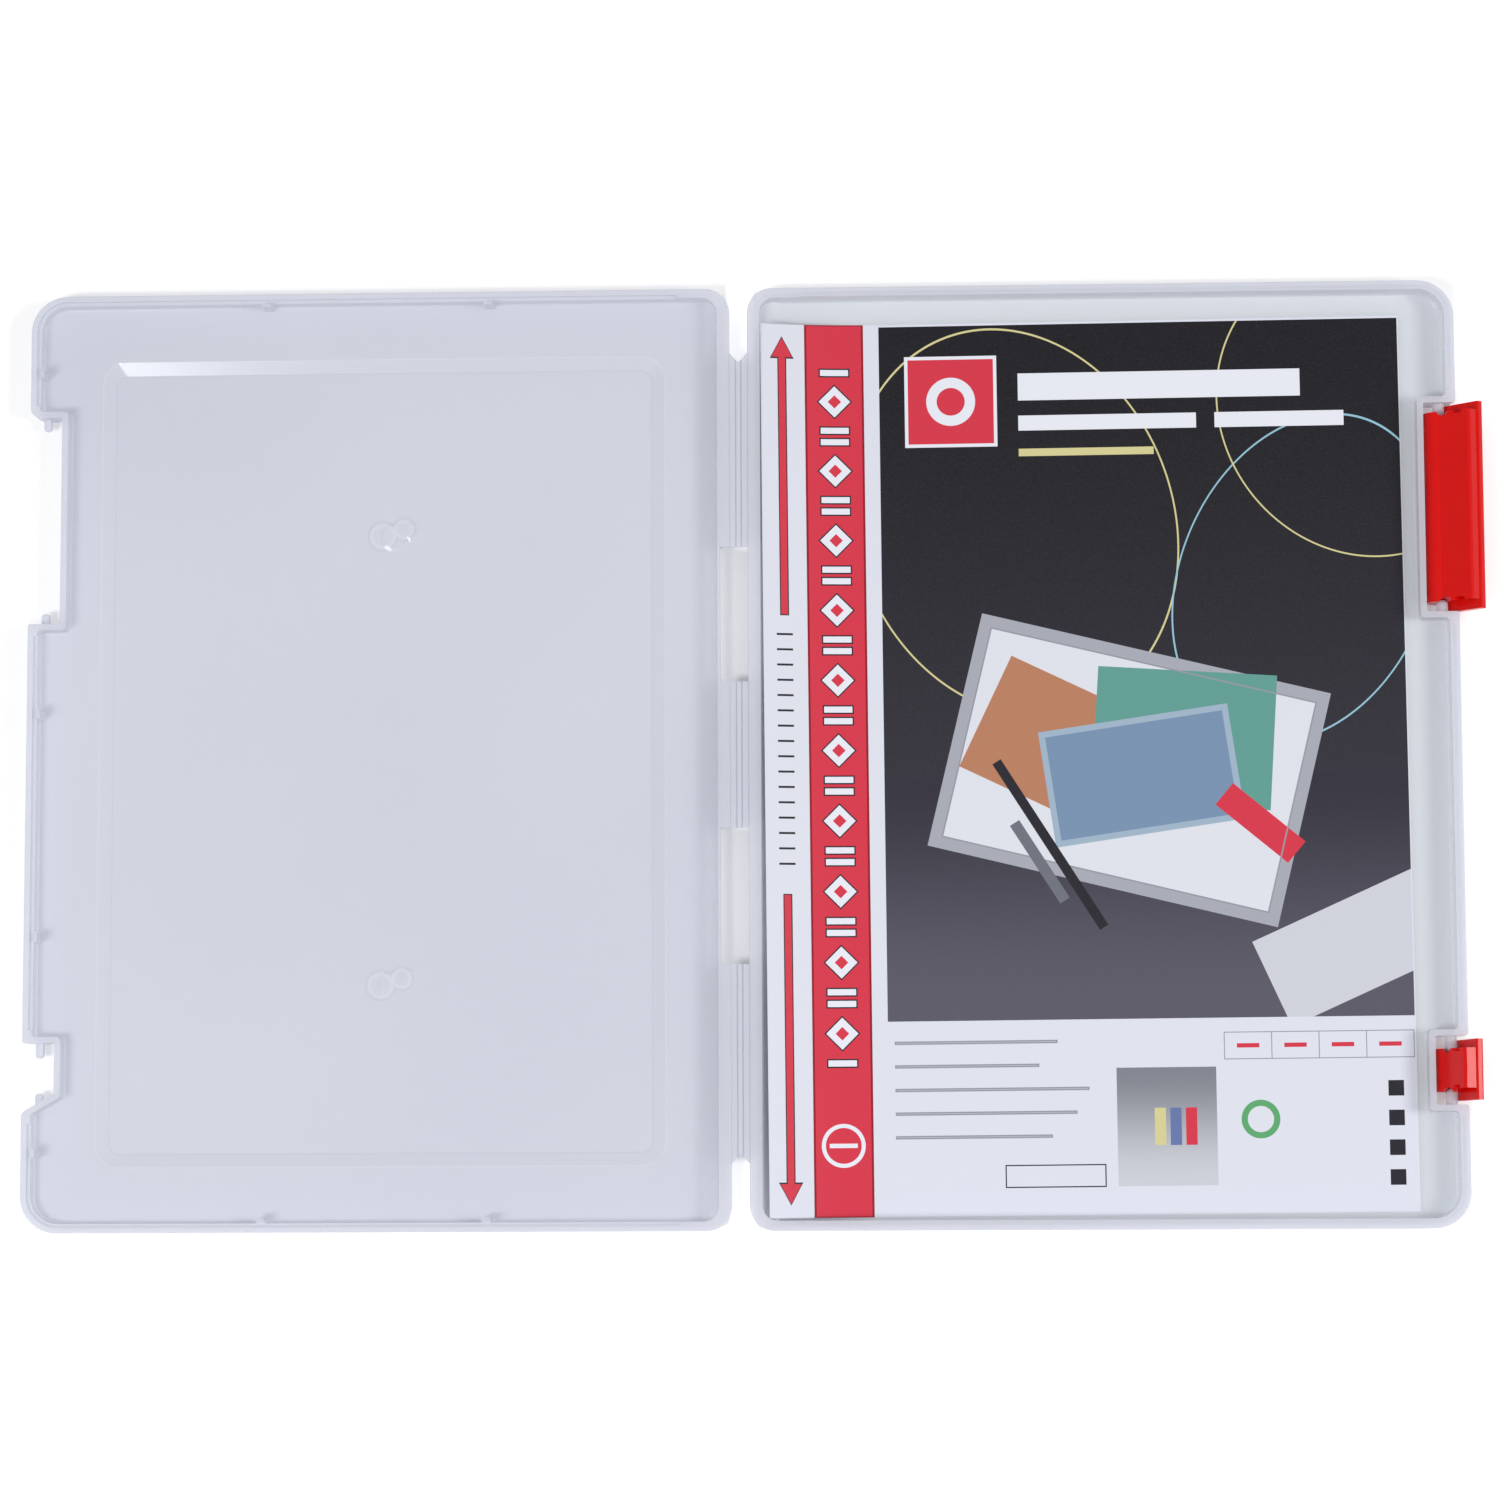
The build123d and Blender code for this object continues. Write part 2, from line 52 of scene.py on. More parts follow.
class Material:
    """A node material, put together node by node."""

    # Sockets of the mix node when it mixes colours
    colour_a = 6
    colour_b = 7
    colour_out = 2

    def __init__(self, name):
        self.material = bpy.data.materials.new(name)
        self.material.use_nodes = True
        self.tree = self.material.node_tree
        self.tree.nodes.clear()

    def node(self, kind, **settings):
        made = self.tree.nodes.new(kind)
        for key, value in settings.items():
            setattr(made, key, value)
        return made

    def put(self, socket, value):
        """Link an output to a socket, or set the socket to a constant."""
        if isinstance(value, bpy.types.NodeSocket):
            self.tree.links.new(value, socket)
        else:
            socket.default_value = value

    def math(self, operation, *values, clamp=False):
        made = self.node("ShaderNodeMath", operation=operation, use_clamp=clamp)
        for socket, value in zip(made.inputs, values):
            self.put(socket, value)
        return made.outputs[0]

    def mix(self, share, low, high):
        made = self.node("ShaderNodeMix", data_type="RGBA")
        self.put(made.inputs["Factor"], share)
        self.put(made.inputs[self.colour_a], low)
        self.put(made.inputs[self.colour_b], high)
        return made.outputs[self.colour_out]

    def ramp(self, value, start, end, low=0.0, high=1.0, smooth=True):
        """A value that runs from low to high between two limits."""
        made = self.node("ShaderNodeMapRange", interpolation_type="SMOOTHSTEP" if smooth else "LINEAR")
        self.put(made.inputs["Value"], value)
        self.put(made.inputs["From Min"], start)
        self.put(made.inputs["From Max"], end)
        self.put(made.inputs["To Min"], low)
        self.put(made.inputs["To Max"], high)
        return made.outputs[0]

    def noise(self, place, scale, detail=2.0, roughness=0.5):
        made = self.node("ShaderNodeTexNoise")
        self.put(made.inputs["Vector"], place)
        self.put(made.inputs["Scale"], scale)
        self.put(made.inputs["Detail"], detail)
        self.put(made.inputs["Roughness"], roughness)
        return made.outputs["Fac"]

    def place(self):
        return self.node("ShaderNodeTexCoord").outputs["Object"]

    def moved(self, place, shift=(0, 0, 0), turn=(0, 0, 0), scale=(1, 1, 1)):
        made = self.node("ShaderNodeMapping")
        self.put(made.inputs["Vector"], place)
        made.inputs["Location"].default_value = shift
        made.inputs["Rotation"].default_value = turn
        made.inputs["Scale"].default_value = scale
        return made.outputs[0]

    def axes(self, place):
        made = self.node("ShaderNodeSeparateXYZ")
        self.put(made.inputs[0], place)
        return made.outputs[0], made.outputs[1], made.outputs[2]

    def distance(self, value, middle):
        """How far a value is from a middle value, either way."""
        return self.math("ABSOLUTE", self.math("SUBTRACT", value, middle))

    def length(self, x, y):
        """Length of a flat vector."""
        square = self.math("ADD", self.math("MULTIPLY", x, x), self.math("MULTIPLY", y, y))
        return self.math("SQRT", square)

    def bump(self, height, strength, distance):
        made = self.node("ShaderNodeBump")
        self.put(made.inputs["Height"], height)
        made.inputs["Strength"].default_value = strength
        made.inputs["Distance"].default_value = distance
        return made.outputs[0]

    def shader(self, kind, **inputs):
        made = self.node(kind)
        for key, value in inputs.items():
            self.put(made.inputs[key.replace("_", " ")], value)
        return made.outputs[0]

    def blend(self, share, low, high):
        made = self.node("ShaderNodeMixShader")
        for socket, value in zip(made.inputs, (share, low, high)):
            self.put(socket, value)
        return made.outputs[0]

    def finish(self, surface):
        output = self.node("ShaderNodeOutputMaterial")
        self.put(output.inputs["Surface"], surface)
        return self.material


def colour(red, green, blue, alpha=1.0):
    """A screen colour of 0 to 255 as the linear colour that a shader takes, by the standard screen curve."""
    def linear(value):
        share = value / 255
        return share / 12.92 if share <= 0.04045 else ((share + 0.055) / 1.055) ** 2.4
    return linear(red), linear(green), linear(blue), alpha


# The shallow panel of the lid, in the middle of it
panel_middle = (-235.2 * mm, 0.0)
panel_half = (88.45 * mm, 128.1 * mm)
panel_round = 3.5 * mm
panel_ramp = 4.4 * mm
panel_line = 0.35 * mm


def panel_distance(m, across, along):
    """How far a place is outside the foot of the lid's panel, with rounded corners."""
    out_x = m.math("SUBTRACT", m.distance(across, panel_middle[0]), panel_half[0] - panel_round)
    out_y = m.math("SUBTRACT", m.distance(along, panel_middle[1]), panel_half[1] - panel_round)
    corner = m.length(m.math("MAXIMUM", out_x, 0.0), m.math("MAXIMUM", out_y, 0.0))
    inside = m.math("MINIMUM", m.math("MAXIMUM", out_x, out_y), 0.0)
    return m.math("SUBTRACT", m.math("ADD", corner, inside), panel_round)


# The two gate marks of the lid, each a round mark with a smaller lobe towards the fold, drawn as rings of
# painted shade and painted highlight
gate_from_middle = 73.8 * mm
gate_places = ((panel_middle[0], gate_from_middle), (panel_middle[0], -gate_from_middle))
gate_radius = 4.7 * mm
lobe_shift = (6.9 * mm, 2.2 * mm)
lobe_radius = 3.7 * mm
gate_rim = 0.9 * mm


def gate_distance(m, across, along):
    """How far a place is outside the nearest gate mark."""
    nearest = 1.0
    for gate_x, gate_y in gate_places:
        mark = (gate_x, gate_y, gate_radius)
        lobe = (gate_x + lobe_shift[0], gate_y + lobe_shift[1], lobe_radius)
        for x, y, radius in (mark, lobe):
            reach = m.length(m.math("SUBTRACT", across, x), m.math("SUBTRACT", along, y))
            nearest = m.math("MINIMUM", nearest, m.math("SUBTRACT", reach, radius))
    return nearest


# Tints of the case's plastic, with painted shade on the rims, painted light on the base floor, and painted
# shade and highlight lines
milky_tint = colour(239, 241, 248)
milky_tint_pale = colour(243, 245, 251)
# Painted shade: a darker tint mixed into the rims at a share
rim_painted_shade_tint = colour(232, 234, 244)
rim_painted_shade_share = 0.35
# Painted light: a paler tint for the base tray's floor, which its walls and the sheet shade
base_floor_painted_light_tint = colour(248, 251, 255)
# Painted shade and painted highlight lines round the lid's panel and gate marks
painted_shade_line = colour(222, 224, 236)
painted_highlight_line = colour(253, 254, 255)

# Limits between which the painted rim shade and the painted floor light fade, as heights and as distances
# from the fold
rim_heights = (5.5 * mm, 9.0 * mm)
floor_heights = (3.0 * mm, 6.0 * mm)
past_fold = (7.0 * mm, 9.0 * mm)

# Shares of the surface's bumps, and the noise values at which a scratch starts and is full
ripple_share = 0.5
grain_share = 0.03
scratch_share = 0.02
scratch_limits = (0.70, 0.74)
scratch_roughness = 0.1

# How much of the light the case's plastic scatters through, and how much passes it unchanged
scattered_share = 0.30
clear_share = 0.34
# Painted light: on the base floor less light passes unchanged, so that the floor reads brighter
base_floor_painted_light_clear_loss = 0.16


def painted_light_floor_mask(m, across, up):
    """1 on the floor of the base tray, where painted light brightens it, 0 elsewhere."""
    base_side = m.ramp(m.math("SUBTRACT", across, fold[0]), *past_fold)
    return m.math("MULTIPLY", base_side, m.ramp(up, *floor_heights, low=1.0, high=0.0))


def case_tint(m, place, painted_light_floor):
    """Milky tint with painted shade on the rims, painted light on the base floor, and painted shade and
    highlight lines round the lid's panel and gate marks.
    """
    across, along, up = m.axes(place)
    cloud = m.noise(place, scale=7.0, detail=1.0)
    tint = m.mix(m.ramp(cloud, *noise_range, smooth=False), milky_tint, milky_tint_pale)
    # Painted shade: the rims are tinted darker, high on the walls and away from the fold
    rim_painted_shade = m.math("MULTIPLY", m.ramp(up, *rim_heights), m.ramp(m.distance(across, fold[0]), *past_fold))
    tint = m.mix(m.math("MULTIPLY", rim_painted_shade, rim_painted_shade_share), tint, rim_painted_shade_tint)
    # Painted light: the base floor is tinted paler than the rest
    tint = m.mix(painted_light_floor, tint, base_floor_painted_light_tint)
    from_gate = gate_distance(m, across, along)
    from_panel = panel_distance(m, across, along)
    # Each painted shade or highlight line has the form it follows, its distance outside it, its reach, its
    # share and its tint
    lines = (
        (from_gate, 0.0, gate_rim, 0.4, painted_shade_line),
        (from_gate, -gate_rim, gate_rim, 0.65, painted_highlight_line),
        (from_panel, 0.0, panel_line, 0.45, painted_shade_line),
        (from_panel, panel_ramp, panel_line, 0.7, painted_highlight_line),
    )
    for from_form, outside, reach, share, line_tint in lines:
        line = m.ramp(m.distance(from_form, outside), 0.0, reach, low=share, high=0.0)
        tint = m.mix(line, tint, line_tint)
    return tint


def case_plastic():
    """Milky clear polypropylene: almost even, faintly rippled, with fine hairline scratches."""
    m = Material("case_plastic")
    place = m.place()
    across, _, up = m.axes(place)
    painted_light_floor = painted_light_floor_mask(m, across, up)
    tint = case_tint(m, place, painted_light_floor)
    ripple = m.noise(place, scale=40.0, detail=1.0)
    grain = m.noise(place, scale=1200.0, detail=2.0)
    hairs = m.noise(m.moved(place, turn=(0, 0, 0.5), scale=(1.0, 40.0, 1.0)), scale=22.0, detail=1.0)
    scratch = m.ramp(hairs, *scratch_limits)
    ripple_height = m.math("MULTIPLY", ripple, ripple_share)
    grain_height = m.math("MULTIPLY", grain, grain_share)
    scratch_depth = m.math("MULTIPLY", scratch, scratch_share)
    height = m.math("SUBTRACT", m.math("ADD", ripple_height, grain_height), scratch_depth)
    normal = m.bump(height, strength=0.15, distance=0.1 * mm)
    grain_rough = m.ramp(grain, *noise_range, low=0.13, high=0.17)
    scratch_rough = m.math("MULTIPLY", scratch, scratch_roughness)
    rough = m.math("ADD", grain_rough, scratch_rough)
    gloss = m.shader("ShaderNodeBsdfPrincipled", Base_Color=tint, Roughness=rough, Normal=normal, IOR=1.49)
    through = m.shader("ShaderNodeBsdfTranslucent", Color=tint, Normal=normal)
    clear = m.shader("ShaderNodeBsdfTransparent", Color=colour(246, 247, 252))
    milky = m.blend(scattered_share, gloss, through)
    # Painted light: the base floor lets less light through unchanged, so that it reads brighter
    clearness = m.math("SUBTRACT", clear_share, m.math("MULTIPLY", painted_light_floor, base_floor_painted_light_clear_loss))
    return m.finish(m.blend(clearness, milky, clear))


def clip_plastic():
    """Glossy red plastic that lets a little light through."""
    clip_grain_share = 0.05
    clip_through_share = 0.12
    m = Material("clip_plastic")
    place = m.place()
    cloud = m.noise(place, scale=60.0, detail=2.0)
    tint = m.mix(cloud, colour(228, 12, 9), colour(236, 17, 13))
    ripple = m.noise(place, scale=160.0, detail=2.0)
    grain_height = m.math("MULTIPLY", m.noise(place, scale=1500.0, detail=1.0), clip_grain_share)
    normal = m.bump(m.math("ADD", ripple, grain_height), strength=0.1, distance=0.1 * mm)
    rough = m.ramp(cloud, *noise_range, low=0.14, high=0.19)
    gloss = m.shader("ShaderNodeBsdfPrincipled", Base_Color=tint, Roughness=rough, Normal=normal, IOR=1.5,
                     Specular_IOR_Level=0.25)
    through = m.shader("ShaderNodeBsdfTranslucent", Color=colour(226, 18, 10), Normal=normal)
    return m.finish(m.blend(clip_through_share, gloss, through))


def web_strip(name, low, high):
    """One web of the living hinge: a thin strip with two grooves, laid between the trays."""
    low_corner, high_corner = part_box("base_" + name)
    reach = high_corner[0] - fold[0]
    bottom, top = low_corner[2], high_corner[2]
    groove_centre = 0.85 * mm
    groove_half = 0.22 * mm
    groove_depth = 0.65 * mm
    slant = 3.2 * mm
    outer_end = 100 * mm
    steps = 56
    stations = [reach * (2 * step / steps - 1) for step in range(steps + 1)]
    points = []
    for x in stations:
        near_groove = max(0.0, 1 - (abs(abs(x) - groove_centre) / groove_half) ** 2)
        upper = top - groove_depth * near_groove ** 0.5
        # Only the two ends of the whole hinge slant inwards
        inward = slant * (1 - abs(x) / reach)
        start = low + (inward if low < -outer_end else 0)
        end = high - (inward if high > outer_end else 0)
        for y, z in ((start, bottom), (end, bottom), (end, upper), (start, upper)):
            points.append((fold[0] + x, y, z))
    corners = 4
    faces = [(0, 1, 2, 3)]
    for column in range(steps):
        for side in range(corners):
            a = column * corners + side
            b = column * corners + (side + 1) % corners
            faces.append((b, a, a + corners, b + corners))
    last = steps * corners
    faces.append((last + 3, last + 2, last + 1, last))
    mesh = bpy.data.meshes.new(name)
    mesh.from_pydata(points, [], faces)
    mesh.validate()
    strip = bpy.data.objects.new("hinge_" + name, mesh)
    bpy.context.scene.collection.objects.link(strip)
    strip.data.materials.append(plastic)
    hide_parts("base_" + name, "lid_" + name)
    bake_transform(strip)
    return strip


class Print(Material):
    """A printed sheet. Places are in millimetres across from its left edge and down from its top edge."""

    def __init__(self, name, left, top, turn):
        super().__init__(name)
        place = self.place()
        own = self.moved(place, shift=(-left, -top, 0))
        scaled = self.moved(own, turn=(0, 0, -turn), scale=(1 / mm, 1 / mm, 1 / mm))
        self.across, up, _ = self.axes(scaled)
        self.down = self.math("MULTIPLY", up, -1.0)
        self.object_place = place
        self.ink = None

    def turned(self, across, down, angle):
        """Coordinates about a point of the sheet, turned by an angle in degrees."""
        place = self.node("ShaderNodeCombineXYZ")
        self.put(place.inputs[0], self.across)
        self.put(place.inputs[1], self.down)
        shifted = self.moved(place.outputs[0], shift=(-across, -down, 0))
        turned = self.moved(shifted, turn=(0, 0, radians(angle)))
        return self.axes(turned)[:2]

    def within(self, distance, limit):
        return self.math("LESS_THAN", distance, limit)

    def grown(self, distance, margin):
        """The distance outside a form that is grown by a margin."""
        return self.math("SUBTRACT", distance, margin)

    def repeated(self, value, step):
        """A value that starts again at every step, measured from the middle of the step."""
        return self.math("SUBTRACT", self.math("WRAP", value, step, 0.0), step / 2)

    def box(self, left, right, top, bottom):
        """How far a place is outside a box, negative inside."""
        return self.box_at(self.across, self.down, (left + right) / 2, (top + bottom) / 2,
                           (right - left) / 2, (bottom - top) / 2)

    def box_at(self, x, y, middle_x, middle_y, half_x, half_y):
        from_x = self.math("SUBTRACT", self.distance(x, middle_x), half_x)
        from_y = self.math("SUBTRACT", self.distance(y, middle_y), half_y)
        return self.math("MAXIMUM", from_x, from_y)

    def turned_box(self, across, down, width, height, angle):
        x, y = self.turned(across, down, angle)
        return self.box_at(x, y, 0.0, 0.0, width / 2, height / 2)

    def circle(self, across, down, radius, stretch=1.0, angle=0.0):
        """How far a place is outside a circle or a turned ellipse, measured in its own width."""
        x, y = self.turned(across, down, angle)
        return self.math("SUBTRACT", self.length(x, self.math("DIVIDE", y, stretch)), radius)

    def paint(self, mask, tone):
        self.ink = self.mix(mask, self.ink, tone)

    def fill(self, distance, tone, inside=None):
        mask = self.within(distance, 0.0)
        if inside is not None:
            mask = self.math("MULTIPLY", mask, inside)
        self.paint(mask, tone)

    def line(self, distance, width, tone, inside=None):
        mask = self.within(self.math("ABSOLUTE", distance), width / 2)
        if inside is not None:
            mask = self.math("MULTIPLY", mask, inside)
        self.paint(mask, tone)


white_ink = colour(232, 234, 244)
black_ink = colour(44, 42, 50)
red_ink = colour(214, 58, 76)
deep_red_ink = colour(150, 28, 44)
yellow_ink = colour(214, 206, 150)
blue_ink = colour(150, 196, 214)
grey_ink = colour(150, 152, 164)


def measuring_strip(p, height):
    """White strip with two red arrows that point to the ends of the sheet, and plain graduations between."""
    middle = 6.9
    tip_inset = 4.5
    upper_tail = 96.0
    lower_tail = height - 104.0
    shaft_start = 5.0
    shaft_half = 1.1
    head_length = 6.4
    head_slope = 1.9
    shaft_outline = 0.35
    head_outline = 0.5
    tick_step = 5.0
    tick_half = 0.35
    tick_reach = 2.6
    tick_top = 102.0
    tick_bottom = height - 110.0
    for tip, tail, way in ((tip_inset, upper_tail, 1), (height - tip_inset, lower_tail, -1)):
        shaft_top, shaft_bottom = sorted((tip + way * shaft_start, tail))
        shaft = p.box(middle - shaft_half, middle + shaft_half, shaft_top, shaft_bottom)
        p.fill(p.grown(shaft, shaft_outline), black_ink)
        along = p.math("MULTIPLY", p.math("SUBTRACT", p.down, tip), float(way))
        side = p.distance(p.across, middle)
        head = p.math("MAXIMUM", p.math("SUBTRACT", p.math("MULTIPLY", side, head_slope), along),
                      p.math("SUBTRACT", along, head_length))
        p.fill(p.grown(head, head_outline), black_ink)
        p.fill(shaft, red_ink)
        p.fill(head, red_ink)
    ticks = p.within(p.math("ABSOLUTE", p.repeated(p.down, tick_step)), tick_half)
    zone = p.within(p.box(middle - tick_reach, middle + tick_reach, tick_top, tick_bottom), 0.0)
    p.paint(p.math("MULTIPLY", ticks, zone), black_ink)


def red_band(p, height):
    """Red band with a column of plain white diamonds and bars."""
    left, right = 14.6, 33.2
    edge_line = 0.7
    start = 14.0
    step = 23.0
    count = 10
    diamond_half = 5.2
    core_inset = 3.0
    diamond_outline = 0.6
    bar_offset = 9.6
    bar_half_width = 4.6
    bar_half_height = 1.0
    bar_outline = 0.45
    band = p.box(left, right, 0.0, height)
    p.fill(band, red_ink)
    p.line(band, edge_line, deep_red_ink)
    zone = p.within(p.box(left, right, start, start + count * step), 0.0)
    cell = p.repeated(p.math("SUBTRACT", p.down, start), step)
    side = p.distance(p.across, (left + right) / 2)
    diamond = p.math("SUBTRACT", p.math("ADD", side, p.math("ABSOLUTE", cell)), diamond_half)
    core = p.math("ADD", diamond, core_inset)
    p.fill(p.grown(diamond, diamond_outline), black_ink, zone)
    p.fill(diamond, white_ink, zone)
    p.fill(core, red_ink, zone)
    for offset in (-bar_offset, bar_offset):
        bar_y = p.math("SUBTRACT", p.distance(cell, offset), bar_half_height)
        bar = p.math("MAXIMUM", p.math("SUBTRACT", side, bar_half_width), bar_y)
        p.fill(p.grown(bar, bar_outline), black_ink, zone)
        p.fill(bar, white_ink, zone)


def picture_ground(p, frame_mask, top, bottom):
    """Dark ground of the picture, paler towards its foot, with a fine speckle."""
    speckle_limits = (0.45, 0.75)
    speckle_share = 0.16
    ground = p.mix(p.ramp(p.down, top, bottom), colour(30, 29, 34), colour(58, 56, 66))
    speckle = p.noise(p.object_place, scale=1400.0, detail=3.0, roughness=0.7)
    ground = p.mix(p.ramp(speckle, *speckle_limits, high=speckle_share), ground, colour(84, 82, 94))
    p.paint(frame_mask, ground)


def picture_title(p):
    """Title place of the picture: a red block with a ring and a white edge, and plain bars beside it."""
    block_across, block_down, block_side, block_edge = 62.0, 26.0, 28.0, 1.1
    ring_outer, ring_inner = 8.0, 4.6
    block = p.turned_box(block_across, block_down, block_side, block_side, 0.0)
    p.fill(p.grown(block, block_edge), white_ink)
    p.fill(block, red_ink)
    p.fill(p.circle(block_across, block_down, ring_outer), white_ink)
    p.fill(p.circle(block_across, block_down, ring_inner), red_ink)
    # Each bar is left, right, top, thickness and tone
    bars = (
        (84, 176, 17, 9, white_ink),
        (84, 142, 31, 5, white_ink),
        (148, 190, 31, 5, white_ink),
        (84, 128, 42, 2.5, yellow_ink),
    )
    for left, right, top, thick, tone in bars:
        p.fill(p.box(left, right, top, top + thick), tone)


def fill_boxes(p, boxes, inside):
    """Fill turned boxes, each across, down, width, height, turn in degrees and tone, from the lowest up."""
    for across, down, width, height, angle, tone in boxes:
        p.fill(p.turned_box(across, down, width, height, angle), tone, inside)


def picture_cards(p, frame_mask):
    """A fan of plain cards on a pale tray, with two rods and a loose card beside it."""
    tray_across, tray_down, tray_turn = 118, 148, -14
    card_across, card_down, card_turn = 122, 150, 8
    tray_width, tray_height = 108, 70
    tray_line = 0.5
    rod_turn = -58
    cards = (
        (tray_across, tray_down, 116, 78, tray_turn, colour(168, 171, 182)),
        (tray_across, tray_down, tray_width, tray_height, tray_turn, colour(222, 225, 234)),
        (96, 140, 54, 40, -26, colour(186, 128, 98)),
        (136, 138, 58, 44, -4, colour(98, 158, 148)),
        (card_across, card_down, 62, 38, card_turn, colour(160, 180, 200)),
        (card_across, card_down, 58, 34, card_turn, colour(120, 146, 176)),
        (160, 166, 30, 9, -40, red_ink),
    )
    rods_and_loose_card = (
        (92, 172, 64, 3.2, rod_turn, black_ink),
        (88.5, 177.6, 30, 3.6, rod_turn, colour(112, 114, 126)),
        (190, 206, 60, 30, 24, colour(206, 208, 218)),
    )
    fill_boxes(p, cards, frame_mask)
    tray = p.turned_box(tray_across, tray_down, tray_width, tray_height, tray_turn)
    p.line(tray, tray_line, grey_ink, frame_mask)
    fill_boxes(p, rods_and_loose_card, frame_mask)


def picture(p):
    """Dark picture of plain tilted cards, rings and bars, with no lettering."""
    left, right, top, bottom = 38.6, 208.0, 0.8, 228.8
    desk_top = 150.0
    desk_fade_end = 226.0
    frame_mask = p.within(p.box(left, right, top, bottom), 0.0)
    picture_ground(p, frame_mask, top, bottom)
    # Each ring is across, down, radius, stretch, turn in degrees, width of its line and tone
    rings = (
        (82.0, 66.0, 52.0, 1.25, 18.0, 0.55, yellow_ink),
        (176.0, 86.0, 40.0, 1.4, -24.0, 0.5, blue_ink),
        (196.0, 30.0, 46.0, 1.1, 30.0, 0.5, yellow_ink),
    )
    for across, down, radius, stretch, angle, width, tone in rings:
        p.line(p.circle(across, down, radius, stretch, angle), width, tone, frame_mask)
    picture_title(p)
    desk_mask = p.math("MULTIPLY", frame_mask, p.within(p.math("SUBTRACT", desk_top, p.down), 0.0))
    desk = p.mix(p.ramp(p.down, desk_top, desk_fade_end), colour(52, 50, 62), colour(92, 90, 104))
    p.paint(desk_mask, desk)
    picture_cards(p, frame_mask)


def footer_rules(p, first):
    """Empty rules, and an empty box at their foot."""
    rule_left, rule_top, rule_step, rule_height, rule_line = 41.0, first + 2.0, 7.6, 0.6, 0.5
    box_left, box_right, box_top, box_bottom, box_line = 76.0, 108.0, first + 42.0, first + 49.0, 0.4
    for row, length in enumerate((52.0, 46.0, 62.0, 58.0, 50.0)):
        top = rule_top + row * rule_step
        p.line(p.box(rule_left, rule_left + length, top, top + rule_height), rule_line, grey_ink)
    p.line(p.box(box_left, box_right, box_top, box_bottom), box_line, black_ink)


def footer_index(p, first):
    """A row of empty index boxes, each with a short red bar."""
    row_left, width, height, edge_line, count = 146.8, 15.2, 8.6, 0.3, 4
    bar_left, bar_right, bar_top, bar_bottom = 4.0, 11.2, 3.6, 5.0
    for index in range(count):
        left = row_left + index * width
        p.line(p.box(left, left + width, first, first + height), edge_line, grey_ink)
        p.fill(p.box(left + bar_left, left + bar_right, first + bar_top, first + bar_bottom), red_ink)


def footer_pictures(p, first):
    """A small grey picture with three cards, a green ring, and a column of black squares."""
    left, right, top, bottom = 112.0, 144.0, first + 11.0, first + 49.0
    card_left, card_step, card_width, card_top, card_bottom = 124.0, 5.0, 3.6, first + 24.0, first + 36.0
    ring_across, ring_down, ring_radius, ring_line = 158.0, first + 28.0, 5.2, 2.0
    square_left, square_top, square_side, square_step, square_count = 199.0, first + 16.0, 5.0, 9.5, 4
    fade = p.mix(p.ramp(p.down, top, bottom), colour(128, 132, 142), colour(204, 206, 214))
    p.fill(p.box(left, right, top, bottom), fade)
    for index, tone in enumerate((yellow_ink, colour(104, 120, 170), red_ink)):
        start = card_left + index * card_step
        p.fill(p.box(start, start + card_width, card_top, card_bottom), tone)
    p.line(p.circle(ring_across, ring_down, ring_radius), ring_line, colour(96, 168, 112))
    for index in range(square_count):
        start = square_top + index * square_step
        p.fill(p.box(square_left, square_left + square_side, start, start + square_side), black_ink)


def badge(p, height):
    """White ring with a bar, at the foot of the red band."""
    across, down, radius, ring_line = 23.9, height - 23.0, 6.4, 1.3
    bar_half_width, bar_half_height = 4.5, 0.7
    p.line(p.circle(across, down, radius), ring_line, white_ink)
    p.fill(p.box(across - bar_half_width, across + bar_half_width, down - bar_half_height,
                 down + bar_half_height), white_ink)


def printed_sheet():
    """Smooth printed paper: white margins, red band, dark picture, white foot."""
    turn = radians(0.4)
    width = 208.4
    height = 291.6
    footer_top = 233.5
    fibre_share = 0.1
    centre_x = (sheet_low[0] + sheet_high[0]) / 2
    centre_y = (sheet_low[1] + sheet_high[1]) / 2
    corner = Euler((0, 0, turn)).to_matrix() @ Vector((-width * mm / 2, height * mm / 2, 0))
    p = Print("printed_sheet", centre_x + corner.x, centre_y + corner.y, turn)
    p.ink = colour(222, 225, 236)
    measuring_strip(p, height)
    red_band(p, height)
    picture(p)
    footer_rules(p, footer_top)
    footer_index(p, footer_top)
    footer_pictures(p, footer_top)
    badge(p, height)
    fibre = p.noise(p.object_place, scale=600.0, detail=3.0)
    wave = p.noise(p.object_place, scale=9.0, detail=1.0)
    bump_height = p.math("ADD", p.math("MULTIPLY", fibre, fibre_share), wave)
    normal = p.bump(bump_height, strength=0.15, distance=0.3 * mm)
    rough = p.ramp(fibre, *noise_range, low=0.38, high=0.5)
    paper = p.shader("ShaderNodeBsdfPrincipled", Base_Color=p.ink, Roughness=rough, Normal=normal, IOR=1.45,
                     Specular_IOR_Level=0.2)
    return p.finish(paper)


def dress(node, material):
    """Give a node its finish in every material slot."""
    mesh = frame["nodes"][node].data
    mesh.materials.clear()
    mesh.materials.append(material)


plastic = case_plastic()
red = clip_plastic()
for node in ("base_tray", "lid_tray"):
    dress(node, plastic)
for node in ("large_clip", "small_clip"):
    dress(node, red)
dress("insert_sheet", printed_sheet())
for name in ("web_left", "web_middle", "web_right"):
    strip_low, strip_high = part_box("base_" + name)
    web_strip(name, strip_low[1], strip_high[1])


# How brightly the table top glows to the camera
table_glow = 0.20

